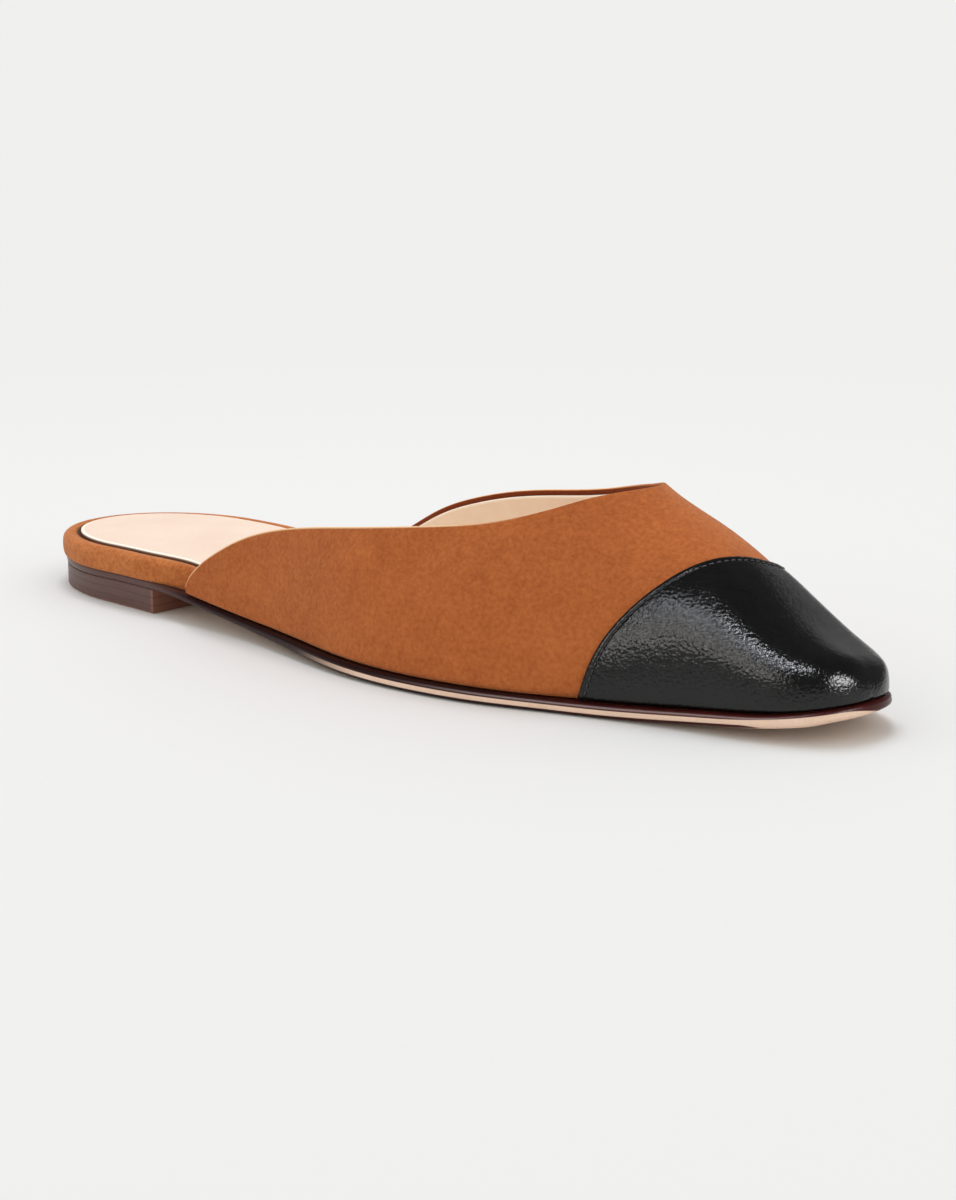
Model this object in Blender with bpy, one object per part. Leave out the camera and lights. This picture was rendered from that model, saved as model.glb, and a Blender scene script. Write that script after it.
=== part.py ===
"""Flat mule for the right foot: suede upper with a leather toe cap on a thin leather sole.

Frame, in metres: +X runs to the toe, +Y to the wearer's left (the inner, medial side of a right
shoe), +Z up. The origin lies on the floor at the centre of the shoe's box. All the shape functions
below work in millimetres in the last's own frame: x is the distance forward of the back of the
heel, y is sideways from the heel's axis (medial positive) and z is the height above the floor.
"""
import math

import bmesh
import bpy
import numpy as np

MM = 0.001

# Driving sizes (mm).
LENGTH = 255.0          # origin of x, just behind the heel, to the toe of the sole
SOLE_BACK = 2.5         # back of the sole's edge
GAP = 0.3               # clearance between pieces that meet
HEEL_ROUND = 34.0       # length of the rounded back of the seat
HEEL_POWER = 2.05       # roundness of the back of the seat
TOE_ROUND = 22.0        # length over which the toe closes
TOE_POWER = 2.25        # squareness of the toe: 2 is round, more is squarer
TOE_SWING = 3.2         # how far the toe's centre lies to the medial side
SWING_FROM = 150.0      # the last's axis starts to swing here

BREAST_X = 56.5         # front face of the heel block
HEEL_SIDE_INSET = 0.2   # heel block's side inside the sole's edge
HEEL_CHAMFER = 0.4      # broken edge at the bottom of the heel block
TREAD_FROM = 154.0      # the forepart lies flat on the floor between these two
TREAD_TO = 188.0

RIM_OVERHANG = 0.9      # the wrapped insole stands this far outside the sole at the heel
RIM_CLEAR = 0.7         # and this far inside the upper's inner face, where that covers it,
TOE_CLEAR = 0.8         # with this much more at the toe, where the upper leans in
TUCK_FROM = 48.0        # between these two it draws in from the one to the other
TUCK_TO = 74.0
MEDIAL_TUCK = 12.0      # both this much further forward on the medial side
BED_DEPTH = 0.9         # depth of the bed the sock lies in, below the rim's top
BED_INSET = 4.3         # width of the rim between its outer side and the bed, at the heel
FORE_RIM = 0.3          # share of that width kept inside the upper
SOCK_CLEAR = 0.4        # sock's edge inside the bed's, where the rim is at full width
SOCK_THICK = 1.0
SOCK_ROUND = 0.25       # softened top edge of the sock

WALL = 1.8              # upper with its lining
CAP_THICK = 0.8         # leather of the toe cap
TOE_X = 253.3           # the upper's toe, inside the sole's
TOE_WALL = 4.8          # length over which the toe's front wall closes
TOE_WALL_POWER = 2.2
LIP_WAIST = 0.1         # how far the sole's edge shows outside the upper: at the waist,
LIP_FORE = 1.2          # along the forepart
LIP_CAP = 2.3           # under the toe cap, which is a layer thicker,
LIP_TOE = 1.2           # and round the toe's tip
TOE_BEVEL = 3.0         # bevel under the tip of the sole
THROAT_X = 193.0        # front of the opening, on the ridge

LOOP_STEPS = 56         # steps from heel to toe along each side of the sole
PAD_STEPS = 42          # the same for the insole and the sock
HEEL_STEPS = 22         # steps from the back of the heel block to its breast
SIDE_STEPS = 13         # steps from the upper's foot to its ridge or topline, on each side
WING_ROWS = 27          # rows of the upper from the back corners to the throat
VAMP_ROWS = 5           # from there to the cap line
CAP_ROWS = 16           # and on to the toe

SOLE_EDGE = [           # profile of the sole's edge: inset (mm), fraction of the thickness
    (1.3, 0.0),
    (0.5, 0.12),
    (0.0, 0.42),
    (0.05, 0.70),
    (0.45, 0.93),
    (1.1, 1.0),
]

RIM_EDGE = [            # the wrapped insole's side: inset (mm), fraction of its height
    (0.6, 0.0),
    (0.2, 0.10),
    (0.0, 0.32),
    (0.0, 0.62),
    (0.5, 0.88),
    (1.7, 1.0),
    (3.0, 0.97),
]

# Half widths of the sole's edge. They run past the round ends, which close them.
#        x      lateral  medial
OUTLINE = [
    (0.0, 25.2, 24.7),
    (28.0, 25.9, 24.7),
    (50.0, 26.7, 24.4),
    (73.0, 28.5, 23.0),
    (88.0, 29.7, 22.8),
    (103.0, 31.9, 23.6),
    (118.0, 35.1, 25.6),
    (132.0, 37.7, 28.4),
    (145.0, 38.5, 31.4),
    (158.0, 37.8, 33.9),
    (172.0, 35.6, 35.0),
    (187.0, 30.9, 32.4),
    (203.0, 25.8, 27.8),
    (220.0, 21.6, 24.0),
    (238.0, 18.6, 21.0),
    (255.0, 16.8, 17.4),
]

# Heights along the sole: underside, thickness, top of the insole under the sock.
#        x    underside  thick   seat
PROFILE = [
    (0.0, 5.8, 1.9, 12.9),
    (25.0, 5.8, 1.9, 13.6),
    (50.0, 6.2, 1.9, 14.1),
    (62.0, 5.9, 1.9, 13.9),
    (75.0, 4.7, 2.0, 12.8),
    (90.0, 3.1, 2.2, 10.6),
    (105.0, 1.9, 2.6, 9.0),
    (120.0, 1.0, 3.0, 7.8),
    (137.0, 0.3, 3.2, 7.0),
    (154.0, 0.0, 3.2, 6.7),
    (171.0, 0.0, 3.2, 6.6),
    (188.0, 0.0, 3.1, 6.5),
    (205.0, 0.15, 3.2, 6.9),
    (225.0, 1.5, 3.1, 7.9),
    (243.0, 3.25, 3.05, 9.5),
    (255.0, 4.8, 3.65, 11.5),
]

# The last above the sole: ridge height, its sideways place, the section's fullness at the side
# and over the top (shares of the section's height and half width), the belly (mm), and how
# steeply the crown runs down to the lateral side (negative: up to it).
#        x      ridge  ridge_y  side  top  belly  lean
LAST = [
    (60.0, 84.0, 1.0, 0.42, 0.50, 0.6, 0.0),
    (90.0, 80.0, 1.5, 0.42, 0.50, 0.9, 0.0),
    (120.0, 74.5, 2.5, 0.42, 0.50, 1.0, 0.0),
    (150.0, 65.5, 3.5, 0.43, 0.48, 1.0, 0.0),
    (175.0, 56.0, 4.2, 0.45, 0.45, 0.9, 0.0),
    (195.0, 45.4, 4.2, 0.46, 0.46, 0.8, 0.0),
    (210.0, 39.1, 4.2, 0.56, 0.58, 0.7, -0.05),
    (225.0, 29.5, 4.0, 0.70, 0.74, 0.6, -0.15),
    (238.0, 20.7, 3.8, 0.78, 0.80, 0.5, -0.20),
    (248.0, 16.6, 3.5, 0.80, 0.82, 0.4, -0.20),
    (255.0, 14.5, 3.2, 0.80, 0.82, 0.3, -0.20),
]

# Height of the upper's topline on each side, back corner to throat.
#        x      height
LATERAL_TOPLINE = [
    (70.3, 9.6),
    (71.5, 11.7),
    (73.5, 13.8),
    (76.5, 16.3),
    (80.5, 18.9),
    (87.0, 22.5),
    (99.0, 27.2),
    (113.0, 30.5),
    (132.0, 33.6),
    (148.0, 35.8),
    (160.0, 37.4),
    (168.0, 38.7),
    (174.0, 40.2),
    (180.0, 42.3),
    (186.0, 44.7),
]
MEDIAL_TOPLINE = [
    (84.8, 8.4),
    (86.2, 10.6),
    (88.6, 13.4),
    (93.0, 17.4),
    (98.9, 21.2),
    (109.0, 26.9),
    (120.5, 31.3),
    (132.0, 34.2),
    (142.0, 35.8),
    (152.0, 37.1),
    (162.0, 38.9),
    (171.0, 41.0),
    (179.5, 43.0),
    (186.5, 44.9),
]

# Back edge of the toe cap: share of the way over from the lateral to the medial side, x.
CAP_LINE = [
    (0.0, 196.2),
    (0.12, 200.6),
    (0.25, 209.8),
    (0.38, 216.3),
    (0.5, 219.2),
    (0.62, 219.6),
    (0.75, 214.8),
    (0.88, 206.2),
    (1.0, 199.5),
]


def curve(rows, column):
    """Natural cubic spline through one column of a table, as a function of its first column."""
    knots = np.array([row[0] for row in rows])
    values = np.array([row[column] for row in rows])
    step = np.diff(knots)
    slope = np.diff(values) / step
    matrix = np.eye(len(knots))
    right = np.zeros(len(knots))
    for k in range(1, len(knots) - 1):
        matrix[k, k - 1:k + 2] = step[k - 1], 2 * (step[k - 1] + step[k]), step[k]
        right[k] = 6 * (slope[k] - slope[k - 1])
    bend = np.linalg.solve(matrix, right)

    def at(x):
        x = np.clip(np.asarray(x, float), knots[0], knots[-1])
        k = np.clip(np.searchsorted(knots, x) - 1, 0, len(step) - 1)
        ahead = knots[k + 1] - x
        past = x - knots[k]
        cubic = (bend[k] * ahead**3 + bend[k + 1] * past**3) / (6 * step[k])
        line = (values[k] / step[k] - bend[k] * step[k] / 6) * ahead
        return cubic + line + (values[k + 1] / step[k] - bend[k + 1] * step[k] / 6) * past

    return at


lateral_width = curve(OUTLINE, 1)
medial_width = curve(OUTLINE, 2)
under_spline = curve(PROFILE, 1)
sole_thickness = curve(PROFILE, 2)
seat_height = curve(PROFILE, 3)
ridge_height = curve(LAST, 1)
ridge_place = curve(LAST, 2)
side_fullness = curve(LAST, 3)
top_fullness = curve(LAST, 4)
belly_depth = curve(LAST, 5)
crown_lean = curve(LAST, 6)
throat = [(THROAT_X, float(ridge_height(THROAT_X)))]
lateral_topline = curve(LATERAL_TOPLINE + throat, 1)
medial_topline = curve(MEDIAL_TOPLINE + throat, 1)
cap_line = curve(CAP_LINE, 1)


def smooth(value, low, high):
    """0 below low, 1 above high, with a smooth cubic step between them."""
    share = np.clip((value - low) / (high - low), 0, 1)
    return share * share * (3 - 2 * share)


def swing(x):
    """Sideways place of the last's axis, which turns to the medial side towards the toe."""
    return TOE_SWING * np.clip((x - SWING_FROM) / (LENGTH - SWING_FROM), 0, 1)**2


def closing(left, end, power):
    """Share of the full size kept with this much left before the end, by a superellipse."""
    share = np.clip(1 - left / end, 0, 1)
    return (1 - share**power)**(1 / power)


def sole_under(x):
    """Height of the sole's underside, dead flat along the tread."""
    flat = (x >= TREAD_FROM) & (x <= TREAD_TO)
    return np.where(flat, 0.0, np.maximum(under_spline(x), 0.0))


def sole_top(x):
    return sole_under(x) + sole_thickness(x)


def stations(start, end, count):
    """Places along the shoe, closer together at both ends, where the outline turns."""
    share = np.arange(count + 1) / count
    return start + (end - start) * (1 - np.cos(math.pi * share)) / 2


def plan_loop(grow, count):
    """Closed plan outline, lateral side to the toe and medial side back, moved out by grow.

    grow takes x and which points are lateral, or is one number.
    """
    x = stations(SOLE_BACK, LENGTH, count)
    heel_close = closing(x - SOLE_BACK, HEEL_ROUND, HEEL_POWER)
    close = heel_close * closing(LENGTH - x, TOE_ROUND, TOE_POWER)
    lateral = np.stack([x, swing(x) - lateral_width(x) * close], 1)
    medial = np.stack([x, swing(x) + medial_width(x) * close], 1)
    loop = np.vstack([lateral, medial[-2:0:-1]])
    along = np.roll(loop, -1, 0) - np.roll(loop, 1, 0)
    along /= np.linalg.norm(along, axis=1)[:, None]
    outward = np.stack([along[:, 1], -along[:, 0]], 1)
    is_lateral = np.arange(len(loop)) <= count
    amount = grow(loop[:, 0], is_lateral) if callable(grow) else grow
    return loop + outward * np.reshape(amount, (-1, 1))


def sole_lip(x):
    """How far the sole's edge shows outside the upper."""
    fore = (LIP_FORE - LIP_WAIST) * smooth(x, 80, 120)
    cap = (LIP_CAP - LIP_FORE) * smooth(x, 180, 204)
    return LIP_WAIST + fore + cap + (LIP_TOE - LIP_CAP) * smooth(x, 234, 252)


def edge_inset(inset, share, x):
    """Inset of the sole's edge at x, at a share of its thickness.

    It is trimmed square at the heel, and bevelled below round the tip of the toe.
    """
    bevel = TOE_BEVEL * smooth(x, 247, 254.5) * max(0.0, 1 - share / 0.42)**1.5
    return inset * (0.3 + 0.7 * smooth(x, 54, 78)) + bevel


def upper_foot(x):
    """Height of the upper's lower edge, just above the sole."""
    return sole_top(x) + GAP


def upper_skin(x, over):
    """Point of the upper's outer face at x, over = 0 at the lateral sole edge, 1 at the medial.

    Each side is a cubic curve that leaves the sole upright with a slight belly and arrives at the
    ridge level, or leaning towards the toe. Height and width close together round the toe.
    """
    x, over = np.broadcast_arrays(np.asarray(x, float), np.asarray(over, float))
    lateral = over <= 0.5
    up = np.where(lateral, 2 * over, 2 - 2 * over)
    left = TOE_X - x
    plan = closing(left, TOE_ROUND, TOE_POWER)
    half = np.where(lateral, lateral_width(x), medial_width(x)) - sole_lip(x)
    edge = swing(x) + np.where(lateral, -half, half) * plan
    ridge = swing(x) + (ridge_place(x) - swing(x)) * plan
    foot = upper_foot(x)
    rise = (ridge_height(x) - foot) * closing(left, TOE_WALL, TOE_WALL_POWER)
    down = 1 - up
    belly = np.where(lateral, -1, 1) * belly_depth(x) * plan
    shoulder = ridge + (edge - ridge) * top_fullness(x)
    side = 3 * up * down**2
    top = 3 * up**2 * down
    y = edge * down**3 + (edge + belly) * side + shoulder * top + ridge * up**3
    lean = crown_lean(x) * (shoulder - ridge) * top
    z = foot + rise * (side_fullness(x) * side + top + up**3) + lean
    return np.stack([x, y, z], -1)


def upper_normal(x, over):
    """Outward unit normal of the upper's outer face, lying level along its lower edge."""
    x, over = np.broadcast_arrays(np.asarray(x, float), np.asarray(over, float))
    step = np.minimum(0.01, 0.2 * (TOE_X - x))
    ahead = upper_skin(x + step, over) - upper_skin(x - step, over)
    across = upper_skin(x, over + 0.0005) - upper_skin(x, over - 0.0005)
    normal = np.cross(ahead, across)
    normal[..., 2] = np.where((over < 1e-9) | (over > 1 - 1e-9), 0.0, normal[..., 2])
    length = np.linalg.norm(normal, axis=-1, keepdims=True)
    at_toe = length < 1e-12
    return np.where(at_toe, [1.0, 0.0, 0.0], normal / np.where(at_toe, 1.0, length))


def upper_layer(x, over, lift):
    """The upper's outer face moved out by lift (negative is inward)."""
    return upper_skin(x, over) + lift * upper_normal(x, over)


def share_up(x, height, lateral):
    """How far over the section at x the upper's face stands at this height, as over."""
    low, high = 0.0, 0.5
    for _ in range(40):
        middle = (low + high) / 2
        below = upper_skin(x, middle if lateral else 1 - middle)[2] < height
        low, high = (middle, high) if below else (low, middle)
    return middle if lateral else 1 - middle


def wing_rows(lateral):
    """Places x and over of the upper's rows from a back corner to the throat.

    The rows draw together towards the throat, where the topline turns across the shoe.
    """
    start = (LATERAL_TOPLINE if lateral else MEDIAL_TOPLINE)[0][0]
    topline = lateral_topline if lateral else medial_topline
    foot = 0.0 if lateral else 1.0
    x = np.zeros((WING_ROWS + 1, SIDE_STEPS + 1))
    over = np.zeros_like(x)
    for row in range(WING_ROWS + 1):
        share = row / WING_ROWS
        x[row] = start + (THROAT_X - start) * (0.55 * share + 0.45 * (1 - (1 - share)**3))
        end = 0.5
        if row < WING_ROWS:
            end = share_up(x[row, 0], topline(x[row, 0]), lateral)
        over[row] = foot + (end - foot) * np.arange(SIDE_STEPS + 1) / SIDE_STEPS
    return x, over


def vamp_rows(lateral, start, count, crowd):
    """Places x and over from the line start(over) to the line end(over), crowding by a power."""
    foot = 0.0 if lateral else 1.0
    over = foot + (0.5 - foot) * np.arange(SIDE_STEPS + 1) / SIDE_STEPS
    begin = np.broadcast_to(start(over), over.shape)
    end = cap_line(over) if crowd == 1 else np.full(over.shape, TOE_X)
    left = (1 - np.arange(count + 1) / count)[:, None]**crowd
    return end + (begin - end) * left, np.broadcast_to(over, (count + 1, over.size))


def weld(points, faces):
    """Joins points that coincide and drops the corners of faces that this empties."""
    keys = np.round(points, 5)
    _, first, joined = np.unique(keys, axis=0, return_index=True, return_inverse=True)
    joined = joined.ravel()
    kept = []
    for face in faces:
        corners = [int(joined[corner]) for corner in face]
        corners = [c for k, c in enumerate(corners) if c != corners[k - 1]]
        if len(corners) > 2:
            kept.append(corners)
    return points[first], kept


def shell(sides, inner, outer, throat_row):
    """Closed shell between two lifts of the upper's face, over the rows of both its sides.

    sides holds (x, over) for the lateral and the medial side. From throat_row on the two sides
    meet at the ridge; before it their edges are closed from outer to inner face.
    """
    points = []
    faces = []
    offset = 0
    for side, (x, over) in enumerate(sides):
        rows, columns = x.shape
        for lift in (outer, inner):
            points.append(upper_layer(x, over, lift).reshape(-1, 3))
        far = rows * columns

        def at(row, column, layer):
            return offset + layer * far + row * columns + column

        quads = []
        for row in range(rows - 1):
            for column in range(columns - 1):
                corners = [(row, column), (row + 1, column), (row + 1, column + 1), (row, column + 1)]
                quads.append([at(r, c, 0) for r, c in corners])
                quads.append([at(r, c, 1) for r, c in reversed(corners)])
            quads.append([at(row, 0, 1), at(row + 1, 0, 1), at(row + 1, 0, 0), at(row, 0, 0)])
            if row < throat_row:
                top = columns - 1
                quads.append([at(row, top, 0), at(row + 1, top, 0), at(row + 1, top, 1), at(row, top, 1)])
        for column in range(columns - 1):
            quads.append([at(0, column, 0), at(0, column + 1, 0), at(0, column + 1, 1), at(0, column, 1)])
        faces += quads if side == 0 else [quad[::-1] for quad in quads]
        offset += 2 * far
    return weld(np.vstack(points), faces)


def stack(levels):
    """Closed solid through a stack of plan loops, lowest first, its ends closed by rungs.

    Each level is an array of points round the loop, the lateral side from heel to toe and then
    the medial side back; rungs join the two sides.
    """
    count = len(levels[0])
    half = count // 2
    faces = []
    for level in range(len(levels) - 1):
        low = level * count
        for k in range(count):
            after = (k + 1) % count
            faces.append([low + k, low + after, low + count + after, low + count + k])
    top = (len(levels) - 1) * count
    for k in range(half):
        near = [k, k + 1, (count - k - 1) % count, (count - k) % count]
        faces.append([top + corner for corner in near])
        faces.append(near[::-1])
    return weld(np.vstack(levels), faces)


def outsole():
    levels = []
    for inset, share in SOLE_EDGE:
        loop = plan_loop(lambda x, lateral: -edge_inset(inset, share, x), LOOP_STEPS)
        x = loop[:, 0]
        levels.append(np.column_stack([loop, sole_under(x) + share * sole_thickness(x)]))
    return stack(levels)


def heel_loop(inset, front):
    """Outline of the heel block: round the back and straight across at the front."""
    fine = plan_loop(-inset, 400)
    lateral = fine[:401]
    medial = np.vstack([fine[:1], fine[400:][::-1]])
    back = fine[0, 0]
    share = np.arange(HEEL_STEPS + 1) / HEEL_STEPS
    x = back + (front - back) * (1 - np.cos(0.5 * math.pi * share))
    low = np.interp(x, lateral[:, 0], lateral[:, 1])
    high = np.interp(x, medial[:, 0], medial[:, 1])
    return np.vstack([np.column_stack([x, low]), np.column_stack([x, high])[:0:-1]])


def heel():
    """Heel block, flat on the floor with a broken edge, its top just under the sole."""
    side = HEEL_SIDE_INSET
    loops = [
        heel_loop(side + HEEL_CHAMFER, BREAST_X - HEEL_CHAMFER),
        heel_loop(side, BREAST_X),
        heel_loop(side, BREAST_X),
    ]
    heights = [
        np.zeros(len(loops[0])),
        np.full(len(loops[1]), HEEL_CHAMFER),
        sole_under(loops[2][:, 0]) - GAP,
    ]
    levels = [np.column_stack([loop, height]) for loop, height in zip(loops, heights)]
    count = len(levels[0])
    faces = []
    for level in range(2):
        low = level * count
        for k in range(count):
            after = (k + 1) % count
            faces.append([low + k, low + after, low + count + after, low + count + k])
    for k in range(HEEL_STEPS):
        near = [k, k + 1, (count - k - 1) % count, (count - k) % count]
        faces.append([2 * count + corner for corner in near])
        faces.append(near[::-1])
    return weld(np.vstack(levels), faces)


def rim_over(x, lateral):
    """How far the wrapped insole's side stands outside the sole's edge."""
    tucked = -(sole_lip(x) + WALL + RIM_CLEAR + TOE_CLEAR * smooth(x, 234, 252))
    later = np.where(lateral, 0.0, MEDIAL_TUCK)
    return RIM_OVERHANG + (tucked - RIM_OVERHANG) * smooth(x - later, TUCK_FROM, TUCK_TO)


def rim_scale(x):
    """Share of the rim's width kept at x: all of it at the heel, little inside the upper."""
    return 1 - (1 - FORE_RIM) * smooth(x, 60, 90)


def rim_loop(inset):
    """Plan outline this far inside the wrapped insole's side, less where its rim narrows."""

    def grow(x, lateral):
        return rim_over(x, lateral) - inset * rim_scale(x)

    return plan_loop(grow, PAD_STEPS)


def insole():
    """Wrapped insole: a rolled rim round a shallow bed that the sock lies in."""
    levels = []
    for inset, share in RIM_EDGE:
        loop = rim_loop(inset)
        low = sole_top(loop[:, 0]) + GAP
        levels.append(np.column_stack([loop, low + share * (seat_height(loop[:, 0]) - low)]))
    loop = rim_loop(BED_INSET)
    levels.append(np.column_stack([loop, seat_height(loop[:, 0]) - BED_DEPTH]))
    return stack(levels)


def sock():
    """Thin pad that lies in the insole's bed."""
    levels = []
    edge = BED_INSET + SOCK_CLEAR
    side = SOCK_THICK - SOCK_ROUND
    for inset, height in ((edge, 0.0), (edge, side), (edge + SOCK_ROUND, SOCK_THICK)):
        loop = rim_loop(inset)
        levels.append(np.column_stack([loop, seat_height(loop[:, 0]) - BED_DEPTH + GAP + height]))
    return stack(levels)


def cap_sides():
    return [vamp_rows(lateral, cap_line, CAP_ROWS, 2.0) for lateral in (True, False)]


def upper():
    """One hollow piece: wings open at the back and over the foot, joined in front of the throat."""
    sides = []
    for lateral, cap in zip((True, False), cap_sides()):
        wing = wing_rows(lateral)
        vamp = vamp_rows(lateral, lambda over: THROAT_X, VAMP_ROWS, 1)
        sides.append([np.vstack([wing[k], vamp[k][1:], cap[k][1:]]) for k in (0, 1)])
    return shell(sides, -WALL, 0.0, WING_ROWS)


def toe_cap():
    """Leather cap over the toe, standing proud of the upper."""
    return shell(cap_sides(), GAP, GAP + CAP_THICK, 0)


def add_part(name, solid, centre, colour, roughness, sharp):
    """Adds one solid as a named object with its own material."""
    points, faces = solid
    mesh = bpy.data.meshes.new(name)
    mesh.from_pydata(((points - centre) * MM).tolist(), [], faces)
    mesh.shade_smooth()
    mesh.set_sharp_from_angle(angle=math.radians(sharp))
    material = bpy.data.materials.new(name)
    material.use_nodes = True
    shader = material.node_tree.nodes["Principled BSDF"]
    shader.inputs["Base Color"].default_value = (*colour, 1.0)
    shader.inputs["Roughness"].default_value = roughness
    shader.inputs["Metallic"].default_value = 0.0
    mesh.materials.append(material)
    bpy.context.collection.objects.link(bpy.data.objects.new(name, mesh))


def main():
    for old in list(bpy.data.objects):
        bpy.data.objects.remove(old)
    edge = plan_loop(0.0, LOOP_STEPS)
    middle = (SOLE_BACK - RIM_OVERHANG + LENGTH) / 2
    centre = np.array([middle, (edge[:, 1].min() + edge[:, 1].max()) / 2, 0.0])
    add_part("heel", heel(), centre, (0.127, 0.077, 0.065), 0.5, 35)
    add_part("outsole", outsole(), centre, (0.62, 0.41, 0.30), 0.45, 50)
    add_part("insole", insole(), centre, (0.42, 0.14, 0.045), 0.9, 50)
    add_part("sock", sock(), centre, (0.95, 0.77, 0.65), 0.6, 40)
    add_part("upper", upper(), centre, (0.434, 0.13, 0.032), 0.95, 40)
    add_part("toe_cap", toe_cap(), centre, (0.012, 0.012, 0.013), 0.35, 40)


if __name__ == "__main__":
    main()
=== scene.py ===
"""Looks of the flat mule with a toe cap: its fine pieces, finishes, floor, light and camera.

Every piece is worked out from the same shape functions as the solid parts, in millimetres in the
last's own frame: x forward of the heel, y to the medial side, z above the floor.
"""
import math

import bpy
import numpy as np
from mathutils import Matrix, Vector


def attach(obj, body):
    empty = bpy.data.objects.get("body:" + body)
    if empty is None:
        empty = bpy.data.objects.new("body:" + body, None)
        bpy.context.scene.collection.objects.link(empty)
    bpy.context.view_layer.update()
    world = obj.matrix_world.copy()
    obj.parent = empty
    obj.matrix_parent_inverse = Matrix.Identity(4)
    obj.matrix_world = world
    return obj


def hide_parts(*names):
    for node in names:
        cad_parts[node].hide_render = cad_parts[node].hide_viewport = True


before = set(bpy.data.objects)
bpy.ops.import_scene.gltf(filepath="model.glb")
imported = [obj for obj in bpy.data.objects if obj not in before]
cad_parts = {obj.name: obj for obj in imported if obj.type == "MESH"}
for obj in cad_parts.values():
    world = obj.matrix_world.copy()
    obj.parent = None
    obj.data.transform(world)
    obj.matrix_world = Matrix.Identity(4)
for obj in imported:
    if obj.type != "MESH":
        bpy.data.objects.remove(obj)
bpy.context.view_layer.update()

MM = 0.001

# Driving sizes, the same as the solid parts'. Sizes are in mm; a pair is a stretch of x.
LENGTH = 255.0          # origin of x, just behind the heel, to the toe of the sole
SOLE_BACK = 2.5         # back of the sole's edge
GAP = 0.3               # clearance between pieces that meet
HEEL_ROUND = 34.0       # length of the rounded back of the seat
HEEL_POWER = 2.05       # roundness of the back of the seat
TOE_ROUND = 22.0        # length over which the toe closes
TOE_POWER = 2.25        # squareness of the toe: 2 is round, more is squarer
TOE_SWING = 3.2         # how far the toe's centre lies to the medial side
SWING_FROM = 150.0      # the last's axis starts to swing here
BREAST_X = 56.5         # front face of the heel block
HEEL_SIDE_INSET = 0.2   # heel block's side inside the sole's edge
TREAD = (154.0, 188.0)  # the forepart lies flat on the floor

RIM_OVERHANG = 0.9      # the wrapped insole stands this far outside the sole at the heel
RIM_CLEAR = 0.7         # and this far inside the upper's inner face, where that covers it,
TOE_CLEAR = 0.8         # with this much more at the toe, where the upper leans in
TUCK = (48.0, 74.0)     # it draws in from the one to the other
MEDIAL_TUCK = 12.0      # this much further forward on the medial side
BED_DEPTH = 0.9         # depth of the bed the sock lies in, below the rim's top
BED_INSET = 4.3         # width of the rim between its outer side and the bed, at the heel
FORE_RIM = 0.3          # share of that width kept inside the upper
RIM_NARROWS = (60, 90)
SOCK_CLEAR = 0.4        # sock's edge inside the bed's, where the rim is at full width
SOCK_THICK = 1.0

WALL = 1.8              # upper with its lining
CAP_THICK = 0.8         # leather of the toe cap
TOE_X = 253.3           # the upper's toe, inside the sole's
TOE_WALL = 4.8          # length over which the toe's front wall closes
TOE_WALL_POWER = 2.2
LIP_WAIST = 0.1         # how far the sole's edge shows outside the upper: at the waist,
LIP_FORE = 1.2          # along the forepart,
LIP_CAP = 2.3           # under the toe cap, which is a layer thicker,
LIP_TOE = 1.2           # and round the toe's tip
TO_FORE = (80, 120)
TO_CAP = (180, 204)
TO_TOE = (234, 252)
SQUARE_EDGE = 0.3       # share of the sole's edge profile kept at the heel
SQUARE_TO = (54, 78)
TOE_BEVEL = 3.0         # bevel under the tip of the sole
BEVEL_OVER = (247, 254.5)
BEVEL_SHARE = 0.42      # share of the thickness that is bevelled
THROAT_X = 193.0        # front of the opening, on the ridge

# Layers and edges of the added pieces.
TOUCH = 0.02            # they stop this short of what they lie on
SUEDE_THICK = 0.9       # outer layer of the upper
UNDER_CAP = 4.0         # it runs this far under the toe cap
LINING_AT = 0.95        # the lining's outer face, inside the upper's
LINING_DROP = 1.2       # the lining starts this far from the topline
LINING_LAP = 0.3        # its two parts overlap by this much
SUEDE_ROUND = 0.35      # rounded edge of the suede
SKIN_ROUND = 0.3        # and of the lining and the cap
FOOT_ROUND = 0.9        # outer faces draw in over this height above the sole
CAP_SKIVE = 0.45        # the cap is this much thinner at its edge
SKIVE_RUN = 2.5         # and thickens over about this distance
CAP_BEAD = 0.14         # swelling of its edge, and depth of the groove of its stitches
GROOVE_WIDTH = 0.28
STITCH_INSET = 1.6      # stitches from the cap's edge
STITCH_PITCH = 1.7
STITCH_LENGTH = 1.35
STITCH_RADIUS = 0.2
STITCH_FOOT = 0.05      # a stitch's ends above the groove
STITCH_RISE = 0.16      # its middle above its ends
STITCH_END = 1.0        # from each end of the row to the sole
INK_FROM = 0.64         # share of the sole's thickness where the bare edge ends in a crease
CREASE = 0.10           # its depth
CREASE_WIDTH = 0.035    # share of the thickness
CREASE_FROM = (100, 130)
HEEL_LIFTS = 3
JOINT_DEPTH = 0.03      # joint between two lifts
JOINT_WIDTH = 0.07      # share of a lift
HEEL_FOOT = 0.35        # rounding at the bottom of the heel block
HEEL_TOP = 0.15         # and at its top
SOCK_LIFT = 0.25        # the sock's underside above its bed
SOCK_CROWN = 0.25       # fullness of its middle
BED_EDGE = [(3.6, 0.25), (3.95, 0.6)]   # rim's inner edge: inset, fall

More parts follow.
